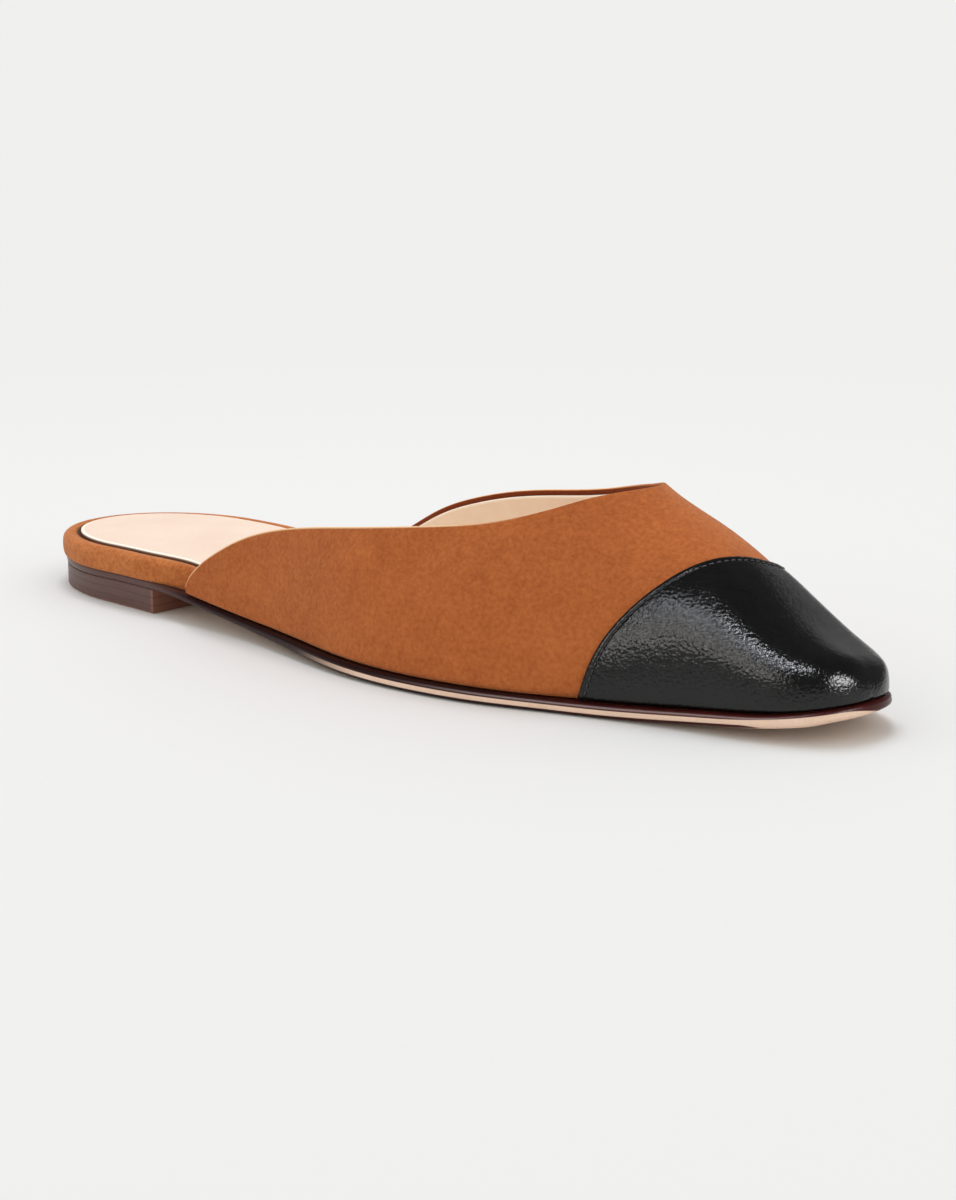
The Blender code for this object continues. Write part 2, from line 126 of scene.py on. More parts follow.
# Fineness: counts of lines, of steps along them or round an outline, and of levels.
COLLAR_SIDE = 130       # lines over each wing
COLLAR_FRONT = 110      # lines from the throat to the cap
COLLAR_STEPS = 46
FRONT_REACH = 9.0       # the throat's front is the topline this far (mm) back from its tip
TOE_ACROSS = 150        # lines over the toe
TOE_STEPS = 72
TURN_STEPS = 6          # each half of a turned edge
DECK_ACROSS = 16
SOLE_STEPS, RIM_STEPS, HEEL_STEPS, FINE_STEPS = 420, 360, 160, 400
SOLE_LEVELS, RIM_LEVELS, HEEL_LEVELS = 30, 26, 49
STITCH_ROUND, STITCH_ALONG = 8, 9
ROW_SAMPLES = 1600      # points that the row of stitches is measured with
HALVINGS = 40           # rounds of a search by halving
EDGE_AWAY = np.array([0.35, 0.55, 0.8, 1.2, 1.8])   # columns next to an edge (mm)
CAP_AWAY = np.arange(0.3, 2.8, 0.13)

SUEDE_DARK = (0.325, 0.0735, 0.014)
SUEDE_LIGHT = (0.553, 0.163, 0.042)
RIM_LIGHT = (0.64, 0.22, 0.062)

CAMERA_AT = (622.6, -505.1, 174.6)
CAMERA_TO = (136.65, 5.9, 10.9)
LENS = 91.4
SENSOR = 36.0
BACKGROUND = (0.871, 0.871, 0.855)
FLOOR = (0.765, 0.765, 0.755)
FLOOR_FADE = (0.16, 0.45)   # the floor turns into plain background between these (m)
WORLD_COLOUR = (1.02, 1.0, 0.955)
WORLD_LIGHT = 0.80
GLOSS_HIGH = 0.10       # brightness that reflections see overhead
GLOSS_LOW = 0.20        # and low down
LIT_POINT = (0.04, 0.0, 0.02)   # the softboxes face this point (m)
SOFTBOXES = {   # azimuth and elevation (degrees), distance (m), size (m), watts, colour
    "overhead": (150, 70, 3.6, (1.6, 1.6), 55, (0.953, 1.0, 1.105)),
    "strip_back": (-101, 36.0, 1.2, (0.6, 0.08), 2.8, (0.92, 0.94, 1.0)),
    "strip_middle": (-78, 44.0, 1.2, (0.45, 0.05), 1.7, (0.92, 0.94, 1.0)),
    "strip_front": (-60, 49.5, 1.2, (0.35, 0.045), 5.0, (0.92, 0.94, 1.0)),
    "side_low": (-96, 18.0, 1.2, (0.8, 0.10), 3.0, (1.0, 0.97, 0.92)),
    "front": (0, 17, 1.2, (0.66, 0.30), 13, (1, 1, 1)),
    "ridge": (103, 19, 1.2, (0.7, 0.12), 0.18, (1, 1, 1)),
}

SOLE_EDGE = [           # profile of the sole's edge: inset (mm), fraction of the thickness
    (1.3, 0.0), (0.5, 0.12), (0.0, 0.42),
    (0.05, 0.70), (0.45, 0.93), (1.1, 1.0),
]

RIM_EDGE = [            # the wrapped insole's side: inset (mm), fraction of its height
    (0.6, 0.0), (0.2, 0.10), (0.0, 0.32), (0.0, 0.62),
    (0.5, 0.88), (1.7, 1.0), (3.0, 0.97),
]

# Half widths of the sole's edge. They run past the round ends, which close them.
#        x      lateral  medial
OUTLINE = [
    (0.0, 25.2, 24.7),
    (28.0, 25.9, 24.7),
    (50.0, 26.7, 24.4),
    (73.0, 28.5, 23.0),
    (88.0, 29.7, 22.8),
    (103.0, 31.9, 23.6),
    (118.0, 35.1, 25.6),
    (132.0, 37.7, 28.4),
    (145.0, 38.5, 31.4),
    (158.0, 37.8, 33.9),
    (172.0, 35.6, 35.0),
    (187.0, 30.9, 32.4),
    (203.0, 25.8, 27.8),
    (220.0, 21.6, 24.0),
    (238.0, 18.6, 21.0),
    (255.0, 16.8, 17.4),
]

# Heights along the sole: underside, thickness, top of the insole under the sock.
#        x    underside  thick   seat
PROFILE = [
    (0.0, 5.8, 1.9, 12.9),
    (25.0, 5.8, 1.9, 13.6),
    (50.0, 6.2, 1.9, 14.1),
    (62.0, 5.9, 1.9, 13.9),
    (75.0, 4.7, 2.0, 12.8),
    (90.0, 3.1, 2.2, 10.6),
    (105.0, 1.9, 2.6, 9.0),
    (120.0, 1.0, 3.0, 7.8),
    (137.0, 0.3, 3.2, 7.0),
    (154.0, 0.0, 3.2, 6.7),
    (171.0, 0.0, 3.2, 6.6),
    (188.0, 0.0, 3.1, 6.5),
    (205.0, 0.15, 3.2, 6.9),
    (225.0, 1.5, 3.1, 7.9),
    (243.0, 3.25, 3.05, 9.5),
    (255.0, 4.8, 3.65, 11.5),
]

# The last above the sole: ridge height, its sideways place, the section's fullness at the side
# and over the top (shares of the section's height and half width), the belly (mm), and how
# steeply the crown runs down to the lateral side (negative: up to it).
#        x      ridge  ridge_y  side  top  belly  lean
LAST = [
    (60.0, 84.0, 1.0, 0.42, 0.50, 0.6, 0.0),
    (90.0, 80.0, 1.5, 0.42, 0.50, 0.9, 0.0),
    (120.0, 74.5, 2.5, 0.42, 0.50, 1.0, 0.0),
    (150.0, 65.5, 3.5, 0.43, 0.48, 1.0, 0.0),
    (175.0, 56.0, 4.2, 0.45, 0.45, 0.9, 0.0),
    (195.0, 45.4, 4.2, 0.46, 0.46, 0.8, 0.0),
    (210.0, 39.1, 4.2, 0.56, 0.58, 0.7, -0.05),
    (225.0, 29.5, 4.0, 0.70, 0.74, 0.6, -0.15),
    (238.0, 20.7, 3.8, 0.78, 0.80, 0.5, -0.20),
    (248.0, 16.6, 3.5, 0.80, 0.82, 0.4, -0.20),
    (255.0, 14.5, 3.2, 0.80, 0.82, 0.3, -0.20),
]

# Height of the upper's topline on each side, back corner to throat.
#        x      height
LATERAL_TOPLINE = [
    (70.3, 9.6), (71.5, 11.7), (73.5, 13.8), (76.5, 16.3), (80.5, 18.9),
    (87.0, 22.5), (99.0, 27.2), (113.0, 30.5), (132.0, 33.6), (148.0, 35.8),
    (160.0, 37.4), (168.0, 38.7), (174.0, 40.2), (180.0, 42.3), (186.0, 44.7),
]
MEDIAL_TOPLINE = [
    (84.8, 8.4), (86.2, 10.6), (88.6, 13.4), (93.0, 17.4), (98.9, 21.2),
    (109.0, 26.9), (120.5, 31.3), (132.0, 34.2), (142.0, 35.8), (152.0, 37.1),
    (162.0, 38.9), (171.0, 41.0), (179.5, 43.0), (186.5, 44.9),
]

# Back edge of the toe cap: share of the way over from the lateral to the medial side, x.
CAP_LINE = [
    (0.0, 196.2), (0.12, 200.6), (0.25, 209.8),
    (0.38, 216.3), (0.5, 219.2), (0.62, 219.6),
    (0.75, 214.8), (0.88, 206.2), (1.0, 199.5),
]


def curve(rows, column):
    """Natural cubic spline through one column of a table, as a function of its first column."""
    knots = np.array([row[0] for row in rows])
    values = np.array([row[column] for row in rows])
    step = np.diff(knots)
    slope = np.diff(values) / step
    matrix = np.eye(len(knots))
    right = np.zeros(len(knots))
    for k in range(1, len(knots) - 1):
        matrix[k, k - 1:k + 2] = step[k - 1], 2 * (step[k - 1] + step[k]), step[k]
        right[k] = 6 * (slope[k] - slope[k - 1])
    bend = np.linalg.solve(matrix, right)

    def at(x):
        """Its value at x, held beyond the table's ends."""
        x = np.clip(np.asarray(x, float), knots[0], knots[-1])
        k = np.clip(np.searchsorted(knots, x) - 1, 0, len(step) - 1)
        ahead = knots[k + 1] - x
        past = x - knots[k]
        cubic = (bend[k] * ahead**3 + bend[k + 1] * past**3) / (6 * step[k])
        line = (values[k] / step[k] - bend[k] * step[k] / 6) * ahead
        return cubic + line + (values[k + 1] / step[k] - bend[k + 1] * step[k] / 6) * past

    return at


lateral_width = curve(OUTLINE, 1)
medial_width = curve(OUTLINE, 2)
under_spline = curve(PROFILE, 1)
sole_thickness = curve(PROFILE, 2)
seat_height = curve(PROFILE, 3)
ridge_height = curve(LAST, 1)
ridge_place = curve(LAST, 2)
side_fullness = curve(LAST, 3)
top_fullness = curve(LAST, 4)
belly_depth = curve(LAST, 5)
crown_lean = curve(LAST, 6)
throat = [(THROAT_X, float(ridge_height(THROAT_X)))]
lateral_topline = curve(LATERAL_TOPLINE + throat, 1)
medial_topline = curve(MEDIAL_TOPLINE + throat, 1)
cap_line = curve(CAP_LINE, 1)


def smooth(value, low, high):
    """0 below low, 1 above high, with a smooth cubic step between them."""
    share = np.clip((value - low) / (high - low), 0, 1)
    return share * share * (3 - 2 * share)


def fade(value, low, high):
    """1 below low, 0 above high, with a smooth cubic step between them."""
    return smooth(-value, -high, -low)


def bell(value, middle, width):
    """1 in the middle, falling to nothing over about two widths on each side."""
    return np.exp(-((value - middle) / width)**2)


def swing(x):
    """Sideways place of the last's axis, which turns to the medial side towards the toe."""
    return TOE_SWING * np.clip((x - SWING_FROM) / (LENGTH - SWING_FROM), 0, 1)**2


def closing(left, end, power):
    """Share of the full size kept with this much left before the end, by a superellipse."""
    share = np.clip(1 - left / end, 0, 1)
    return (1 - share**power)**(1 / power)


def sole_under(x):
    """Height of the sole's underside, dead flat along the tread."""
    flat = (x >= TREAD[0]) & (x <= TREAD[1])
    return np.where(flat, 0.0, np.maximum(under_spline(x), 0.0))


def sole_top(x):
    """Height of the sole's upper face."""
    return sole_under(x) + sole_thickness(x)


def stations(start, end, count):
    """Places along the shoe, closer together at both ends, where the outline turns."""
    share = np.arange(count + 1) / count
    return start + (end - start) * (1 - np.cos(math.pi * share)) / 2


def plan_loop(grow, count):
    """Closed plan outline, lateral side to the toe and medial side back, moved out by grow.

    grow takes x and which points are lateral, or is one number.
    """
    x = stations(SOLE_BACK, LENGTH, count)
    heel_close = closing(x - SOLE_BACK, HEEL_ROUND, HEEL_POWER)
    close = heel_close * closing(LENGTH - x, TOE_ROUND, TOE_POWER)
    lateral = np.stack([x, swing(x) - lateral_width(x) * close], 1)
    medial = np.stack([x, swing(x) + medial_width(x) * close], 1)
    loop = np.vstack([lateral, medial[-2:0:-1]])
    along = np.roll(loop, -1, 0) - np.roll(loop, 1, 0)
    along /= np.linalg.norm(along, axis=1)[:, None]
    outward = np.stack([along[:, 1], -along[:, 0]], 1)
    is_lateral = np.arange(len(loop)) <= count
    amount = grow(loop[:, 0], is_lateral) if callable(grow) else grow
    return loop + outward * np.reshape(amount, (-1, 1))


def sole_lip(x):
    """How far the sole's edge shows outside the upper."""
    fore = (LIP_FORE - LIP_WAIST) * smooth(x, *TO_FORE)
    cap = (LIP_CAP - LIP_FORE) * smooth(x, *TO_CAP)
    return LIP_WAIST + fore + cap + (LIP_TOE - LIP_CAP) * smooth(x, *TO_TOE)


def edge_inset(inset, share, x):
    """Inset of the sole's edge at x, at a share of its thickness.

    It is trimmed square at the heel, and bevelled below round the tip of the toe.
    """
    bevel = TOE_BEVEL * smooth(x, *BEVEL_OVER) * max(0.0, 1 - share / BEVEL_SHARE)**1.5
    return inset * (SQUARE_EDGE + (1 - SQUARE_EDGE) * smooth(x, *SQUARE_TO)) + bevel


def upper_foot(x):
    """Height of the upper's lower edge, just above the sole."""
    return sole_top(x) + GAP


def upper_skin(x, over):
    """Point of the upper's outer face at x, over = 0 at the lateral sole edge, 1 at the medial.

    Each side is a cubic curve that leaves the sole upright with a slight belly and arrives at the
    ridge level, or leaning towards the toe. Height and width close together round the toe.
    """
    x, over = np.broadcast_arrays(np.asarray(x, float), np.asarray(over, float))
    lateral = over <= 0.5
    up = np.where(lateral, 2 * over, 2 - 2 * over)
    left = TOE_X - x
    plan = closing(left, TOE_ROUND, TOE_POWER)
    half = np.where(lateral, lateral_width(x), medial_width(x)) - sole_lip(x)
    edge = swing(x) + np.where(lateral, -half, half) * plan
    ridge = swing(x) + (ridge_place(x) - swing(x)) * plan
    foot = upper_foot(x)
    rise = (ridge_height(x) - foot) * closing(left, TOE_WALL, TOE_WALL_POWER)
    down = 1 - up
    belly = np.where(lateral, -1, 1) * belly_depth(x) * plan
    shoulder = ridge + (edge - ridge) * top_fullness(x)
    side = 3 * up * down**2
    top = 3 * up**2 * down
    y = edge * down**3 + (edge + belly) * side + shoulder * top + ridge * up**3
    lean = crown_lean(x) * (shoulder - ridge) * top
    z = foot + rise * (side_fullness(x) * side + top + up**3) + lean
    return np.stack([x, y, z], -1)


def upper_normal(x, over):
    """Outward unit normal of the upper's outer face, lying level along its lower edge."""
    x, over = np.broadcast_arrays(np.asarray(x, float), np.asarray(over, float))
    step = np.minimum(0.01, 0.2 * (TOE_X - x))
    ahead = upper_skin(x + step, over) - upper_skin(x - step, over)
    across = upper_skin(x, over + 0.0005) - upper_skin(x, over - 0.0005)
    normal = np.cross(ahead, across)
    normal[..., 2] = np.where((over < 1e-9) | (over > 1 - 1e-9), 0.0, normal[..., 2])
    length = np.linalg.norm(normal, axis=-1, keepdims=True)
    at_toe = length < 1e-12
    return np.where(at_toe, [1.0, 0.0, 0.0], normal / np.where(at_toe, 1.0, length))


def share_up(x, height, lateral):
    """How far over the section at each x the skin stands at each height, by halving."""
    low = np.zeros(len(x))
    high = np.full(len(x), 0.5)
    for _ in range(HALVINGS):
        middle = (low + high) / 2
        below = upper_skin(x, middle if lateral else 1 - middle)[:, 2] < height
        low = np.where(below, middle, low)
        high = np.where(below, high, middle)
    return middle if lateral else 1 - middle


def sides(loop):
    """An outline's lateral and medial sides, each from the heel to the toe."""
    half = (len(loop) + 1) // 2
    return loop[:len(loop) // 2 + 1], np.concatenate([loop[:1], loop[half:][::-1]])


def heel_loop(inset, front):
    """Outline of the heel block: round the back and straight across at the front."""
    fine = plan_loop(-inset, FINE_STEPS)
    share = np.arange(HEEL_STEPS + 1) / HEEL_STEPS
    x = fine[0, 0] + (front - fine[0, 0]) * (1 - np.cos(0.5 * math.pi * share))
    low, high = (np.interp(x, side[:, 0], side[:, 1]) for side in sides(fine))
    return np.vstack([np.column_stack([x, low]), np.column_stack([x, high])[:0:-1]])


def rim_over(x, lateral):
    """How far the wrapped insole's side stands outside the sole's edge."""
    tucked = -(sole_lip(x) + WALL + RIM_CLEAR + TOE_CLEAR * smooth(x, *TO_TOE))
    later = np.where(lateral, 0.0, MEDIAL_TUCK)
    return RIM_OVERHANG + (tucked - RIM_OVERHANG) * smooth(x - later, *TUCK)


def rim_scale(x):
    """Share of the rim's width kept at x: all of it at the heel, little inside the upper."""
    return 1 - (1 - FORE_RIM) * smooth(x, *RIM_NARROWS)


def rim_loop(inset):
    """Plan outline this far inside the wrapped insole's side, less where its rim narrows."""
    return plan_loop(lambda x, side: rim_over(x, side) - inset * rim_scale(x), RIM_STEPS)


EDGE = plan_loop(0.0, count=56)
CENTRE = np.array([
    (SOLE_BACK - RIM_OVERHANG + LENGTH) / 2,
    (EDGE[:, 1].min() + EDGE[:, 1].max()) / 2,
    0.0,
])


# ---- meshes

def add_object(name, data):
    """New object with this data, in the scene."""
    made = bpy.data.objects.new(name, data)
    bpy.context.scene.collection.objects.link(made)
    return made


def grid_faces(rows, columns, wrap=False, first=0, flip=False):
    """Quads over a grid of points, column fastest, closed round the columns if wrap."""
    row = np.arange(rows - 1)[:, None]
    column = np.arange(columns if wrap else columns - 1)[None, :]
    after = (column + 1) % columns
    here = first + row * columns
    ahead = here + columns
    corners = [here + column, ahead + column, ahead + after, here + after]
    quads = np.stack(corners, -1).reshape(-1, 4)
    return quads[:, ::-1] if flip else quads


def make_piece(name, points, faces, material, replaced=(), marks=None, sharp=60):
    """One mesh in the row frame, coincident points joined, riding on the shoe's one body.

    marks are values per point, kept as named attributes for the materials.
    """
    _, first, joined = np.unique(
        np.round(points, 4), axis=0, return_index=True, return_inverse=True)
    corners = joined.ravel()[np.asarray(faces)]
    repeat = corners == np.roll(corners, 1, 1)
    whole = corners[~repeat.any(1)]
    three = repeat.sum(1) == 1
    triangles = corners[three][~repeat[three]].reshape(-1, 3)
    mesh = bpy.data.meshes.new(name)
    placed = (points[first] - CENTRE) * MM
    loops = np.concatenate([whole.ravel(), triangles.ravel()]).astype(np.int32)
    starts = np.concatenate([
        np.arange(len(whole)) * 4, len(whole) * 4 + np.arange(len(triangles)) * 3,
    ]).astype(np.int32)
    mesh.vertices.add(len(placed))
    mesh.vertices.foreach_set("co", placed.astype(np.float32).ravel())
    mesh.loops.add(len(loops))
    mesh.loops.foreach_set("vertex_index", loops)
    mesh.polygons.add(len(starts))
    mesh.polygons.foreach_set("loop_start", starts)
    mesh.update(calc_edges=True)
    for key, values in (marks or {}).items():
        kept = mesh.attributes.new(key, "FLOAT", "POINT")
        kept.data.foreach_set("value", np.asarray(values, np.float32)[first])
    mesh.shade_smooth()
    mesh.set_sharp_from_angle(angle=math.radians(sharp))
    mesh.materials.append(material)
    piece = add_object(name, mesh)
    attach(piece, "root")
    if replaced:
        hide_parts(*replaced)
    return piece


# ---- lines over the upper's skin

def topline_run(samples):
    """x and over along the topline, from the lateral back corner over the throat to the medial."""
    draw = np.linspace(1, 0, samples)**2
    runs = []
    for lateral, rows, line in (
        (True, LATERAL_TOPLINE, lateral_topline),
        (False, MEDIAL_TOPLINE, medial_topline),
    ):
        x = THROAT_X - (THROAT_X - rows[0][0]) * draw
        over = share_up(x, line(x), lateral)
        over[-1] = 0.5
        runs.append((x, over))
    (x0, over0), (x1, over1) = runs
    return np.concatenate([x0, x1[-2::-1]]), np.concatenate([over0, over1[-2::-1]])


def run_length(points):
    """Distance from the first point along each row of points."""
    step = np.linalg.norm(np.diff(points, axis=-2), axis=-1)
    return np.concatenate([np.zeros_like(step[..., :1]), np.cumsum(step, -1)], -1)


def skin_lines(start, end, samples=120, crowd=1.0):
    """Straight lines in the skin's own coordinates from start to end, and their run lengths."""
    left = (1 - np.linspace(0, 1, samples))**crowd
    x, over = (b[:, None] + (a - b)[:, None] * left for a, b in zip(start, end))
    return x, over, run_length(upper_skin(x, over))


def along_lines(lines, wanted):
    """x and over at the wanted run lengths, one row of them for each line."""
    return [
        np.array([np.interp(*row) for row in zip(wanted, lines[2], values)])
        for values in lines[:2]]


def collar_lines(beyond):
    """Lines from the topline out to the foot, and in the middle to beyond the cap line."""
    x, over = topline_run(samples=500)
    length = run_length(upper_skin(x, over))
    lateral_from = LATERAL_TOPLINE[0][0]
    medial_from = MEDIAL_TOPLINE[0][0]
    share = np.linspace(0, 1, COLLAR_SIDE + 1)
    across = np.linspace(0, 1, COLLAR_FRONT + 1)
    turn = THROAT_X - FRONT_REACH
    half = len(x) // 2
    low = np.interp(turn, x[:half], length[:half])
    high = np.interp(-turn, -x[half:], length[half:])
    lateral_foot = lateral_from + (float(cap_line(0.0)) + beyond - lateral_from) * share
    medial_foot = medial_from + (float(cap_line(1.0)) + beyond - medial_from) * share[::-1]
    end_x = np.concatenate([lateral_foot[:-1], cap_line(across) + beyond, medial_foot[1:]])
    end_over = np.concatenate([np.zeros(COLLAR_SIDE), across, np.ones(COLLAR_SIDE)])
    wanted = np.concatenate([
        (low * share)[:-1], low + (high - low) * across,
        (high + (length[-1] - high) * share)[1:],
    ])
    start = (np.interp(wanted, length, x), np.interp(wanted, length, over))
    return skin_lines(start, (end_x, end_over))


def turned_profile(outer, inner, radius, near, steps, drop=0.0):
    """Columns of a sheet's section: share of the line, distance from the edge, lift, inside.

    The sheet runs in along its outer face, turns over a rounded edge at distance drop and runs
    back along its inner face. Close to the edge the columns lie at the distances in near, and
    further off at growing shares of the rest of the line. inside goes from 0 to 1 over the turn.
    """
    face = np.concatenate([np.linspace(1, 0, steps)**1.3, np.zeros(len(near))])
    one = np.ones(len(face))
    away = np.concatenate([np.full(steps, near[-1]), near[::-1]])
    turn = np.linspace(0, 0.5 * math.pi, TURN_STEPS)
    round_out = radius * (1 - np.sin(turn))
    fall = radius * (1 - np.cos(turn))
    share = np.concatenate([face, np.zeros(2 * TURN_STEPS), face[::-1]])
    distance = np.concatenate([away, round_out, round_out[::-1], away[::-1]]) + drop
    lift = np.concatenate([outer * one, outer - fall, (inner + fall)[::-1], inner * one])
    inside = np.concatenate([0 * one, np.linspace(0, 1, 2 * TURN_STEPS), one])
    return share, distance, lift, inside


def foot_tuck(height, radius):
    """How far a face draws in near its foot, as the side of a circle of this radius."""
    near = np.clip(1 - height / radius, 0, 1)
    return radius * (1 - np.sqrt(1 - near**2))


def line_sheet(name, lines, profile, relief, tuck, material, replaced=(), to_toe=False):
    """Sheet of leather over lines on the skin, its edge rounded at the start of every line.

    Its points are the skin's points at the profile's distances along each line, moved out by the
    profile's lift and by relief, a function of the distance from the edge. Its outer face draws
    in near the foot by tuck. It closes at its two ends and along the lines' far ends.
    """
    share, distance, lift, inside = profile
    length = lines[2][:, -1:]
    wanted = np.minimum(distance, 0.9 * length)
    wanted = wanted + share * (length - wanted)
    x, over = along_lines(lines, wanted)
    if to_toe:
        x = np.where(share >= 1, TOE_X, x)
    height = upper_skin(x, over)[..., 2] - upper_foot(x)
    outside = inside < 0.5
    lifts = lift + outside * (relief(wanted) - tuck * foot_tuck(height, FOOT_ROUND))
    points = upper_skin(x, over) + lifts[..., None] * upper_normal(x, over)
    rows, columns = x.shape
    faces = [grid_faces(rows, columns, wrap=True)]
    near = np.arange(columns // 2)
    far = columns - 1 - near
    end = np.stack([near[:-1], near[1:], far[1:], far[:-1]], -1)
    faces += [end, (rows - 1) * columns + end[:, ::-1]]
    marks = {
        "inside": np.broadcast_to(inside, x.shape).ravel(),
        "from_edge": wanted.ravel(),
        "along": np.broadcast_to(lines[0][:, :1], x.shape).ravel(),
    }
    return make_piece(
        name, points.reshape(-1, 3), np.vstack(faces), material, replaced, marks)


def toe_lines(start_x, places, samples=200):
    """Lines from start_x to the toe, one for each place across, closer together at the toe."""
    start = (start_x(places), places)
    return skin_lines(start, (np.full(places.size, TOE_X), places), samples, crowd=2.2)


def level(distance):
    """No relief, and no rise."""
    return 0.0 * distance


def cap_relief(distance):
    """The cap thins towards its edge, which swells like a bead; its stitches lie in a groove."""
    skived = CAP_SKIVE * np.exp(-distance / SKIVE_RUN)
    bead = CAP_BEAD * np.sin(math.pi * np.clip(distance / STITCH_INSET, 0, 1))
    return bead - CAP_BEAD * bell(distance, STITCH_INSET, GROOVE_WIDTH) - skived


# ---- stacks of outlines

def deck(outline, rise):
    """Points between the two sides of an outline, in rungs from lateral to medial side.

    rise adds to the height by the share of the way over.
    """
    lateral, medial = sides(outline)
    share = (1 - np.cos(math.pi * np.linspace(0, 1, DECK_ACROSS))) / 2
    points = lateral[:, None] + (medial - lateral)[:, None] * share[None, :, None]
    points[..., 2] += rise(share)
    return points


def outline_stack(name, levels, share, material, slot, marks, rise=level, sharp=60):
    """Closed piece through a stack of outlines, its two ends closed by decks of rungs.

    share is a value for each level. marks gives the marks from x, y and that value, which the
    decks take from the last level and the first. The piece replaces the solid part of its slot.
    """
    count = len(levels[0])
    points = [np.vstack(levels)]
    value = [np.repeat(np.asarray(share, float), count)]
    faces = [grid_faces(len(levels), count, wrap=True, flip=True)]
    first = len(levels) * count
    for outline, over, at, flip in (
        (levels[-1], rise, share[-1], False), (levels[0], level, share[0], True),
    ):
        surface = deck(outline, over)
        rows, columns = surface.shape[:2]
        points.append(surface.reshape(-1, 3))
        value.append(np.full(rows * columns, float(at)))
        faces.append(grid_faces(rows, columns, first=first, flip=flip))
        first += rows * columns
    points = np.vstack(points)
    value = np.concatenate(value)
    values = marks(points[:, 0], points[:, 1], value)
    return make_piece(name, points, np.vstack(faces), material, (slot,), values, sharp)


def smooth_profile(rows, count):
    """A table of (inset, share) run through finely by a natural spline over its own length."""
    length = run_length(np.array(rows))
    keyed = np.column_stack([length, rows])
    at = np.linspace(0, length[-1], count)
    return curve(keyed, 1)(at), np.clip(curve(keyed, 2)(at), 0, 1)


def make_outsole(material):
    """Sole with a rounded edge: inked band above, bare bevel below, a fine crease between.

    Its levels are the sole's outline drawn in by the edge's profile, at shares of the thickness.
    """
    inset, share = smooth_profile(SOLE_EDGE, SOLE_LEVELS)
    share[0] = 0.0
    crease = CREASE * bell(share, INK_FROM, CREASE_WIDTH)
    levels = []
    for d, s, fold in zip(inset, share, crease):
        loop = plan_loop(lambda x, lateral: -edge_inset(d, s, x), SOLE_STEPS)
        x = loop[:, 0]
        inner = plan_loop(lambda x, lateral: -edge_inset(d, s, x) - 1.0, SOLE_STEPS)
        loop = loop + (inner - loop) * (fold * smooth(x, *CREASE_FROM))[:, None]
        levels.append(np.column_stack([loop, sole_under(x) + s * sole_thickness(x)]))

    def marks(x, y, share):
        """Where the finish changes, from 0 to 1.

        The edge is bare where band is under 0.64 and bare over 0.3: a little higher up at the
        toe, not at all round its medial side, and right down to the underside at the tip. Below the
        bare part, the edge keeps the ink's dark colour as painted shade under its foot.
        """
        # Painted highlight: a pale line along the upper part of the inked edge.
        worn = 0.9 * bell(share, 0.80, 0.06)    # in a line along the upper part of the edge
        return {
            "back": fade(x, 52, 76),
            "fore": smooth(x, 114, 146),
            "toeward": smooth(x, 165, 225),
            "rubbed": worn * smooth(x, 140, 190) * fade(x, 236, 250),
            "band": share - 0.10 * smooth(x, 228, 242)
            + 0.62 * smooth(y, -6, 11) * smooth(x, 238, 249),
            "bare": share + 0.35 * smooth(x, 234, 243),
        }

    return outline_stack("outsole_leather", levels, share, material, "outsole", marks)


def make_heel(material):
    """Heel block of stacked lifts: faint joints between them and softened edges.

    Its levels are the heel's outline, drawn in over the lowest fourteenth of its height, over the
    uppermost sixteenth and at each joint.
    """
    share = np.linspace(0, 1, HEEL_LEVELS)
    levels = []
    for s in share:
        joint = JOINT_DEPTH * bell(s * HEEL_LIFTS, round(s * HEEL_LIFTS), JOINT_WIDTH)
        soft = HEEL_FOOT * max(0.0, 1 - s * 14)**2 + HEEL_TOP * max(0.0, 1 - (1 - s) * 16)**2
        draw_in = HEEL_SIDE_INSET + soft + (joint if 0.1 < s < 0.95 else 0.0)
        loop = heel_loop(draw_in, BREAST_X - soft)
        levels.append(np.column_stack([loop, s * (sole_under(loop[:, 0]) - TOUCH)]))

    def marks(x, _, share):
        """The front face, the joints between lifts and a lighter band at the foot."""
        lift = share * HEEL_LIFTS
        return {
            "breast": smooth(x, BREAST_X - 1.2, BREAST_X - 0.5),
            "seam": (share > 0.1) * bell(lift, np.round(lift), JOINT_WIDTH),
            "worn": (share > 0.001) * fade(share, 0.03, 0.10),
        }

    return outline_stack("heel_lifts", levels, share, material, "heel", marks, sharp=40)


def make_rim(material):
    """Suede rim rolled over the insole's edge and down into the bed of the sock.

    Its levels are the insole's outline drawn in by the rim's profile, at shares of the height up
    to the seat, and then at falls below it.
    """
    levels = []
    for d, s in zip(*smooth_profile(RIM_EDGE, RIM_LEVELS)):
        loop = rim_loop(d)
        low = sole_top(loop[:, 0]) + TOUCH
        levels.append(np.column_stack([loop, low + s * (seat_height(loop[:, 0]) - low)]))
    for d, fall in (*BED_EDGE, (BED_INSET, BED_DEPTH)):
        loop = rim_loop(d)
        levels.append(np.column_stack([loop, seat_height(loop[:, 0]) - fall]))
    count = len(levels)
    return outline_stack(
        "insole_wrap", levels, np.arange(count), material, "insole",
        # The last levels, the bed's wall, are marked for painted shade.
        lambda x, y, row: {"bed": smooth(row, count - 3.5, count - 2.5)})


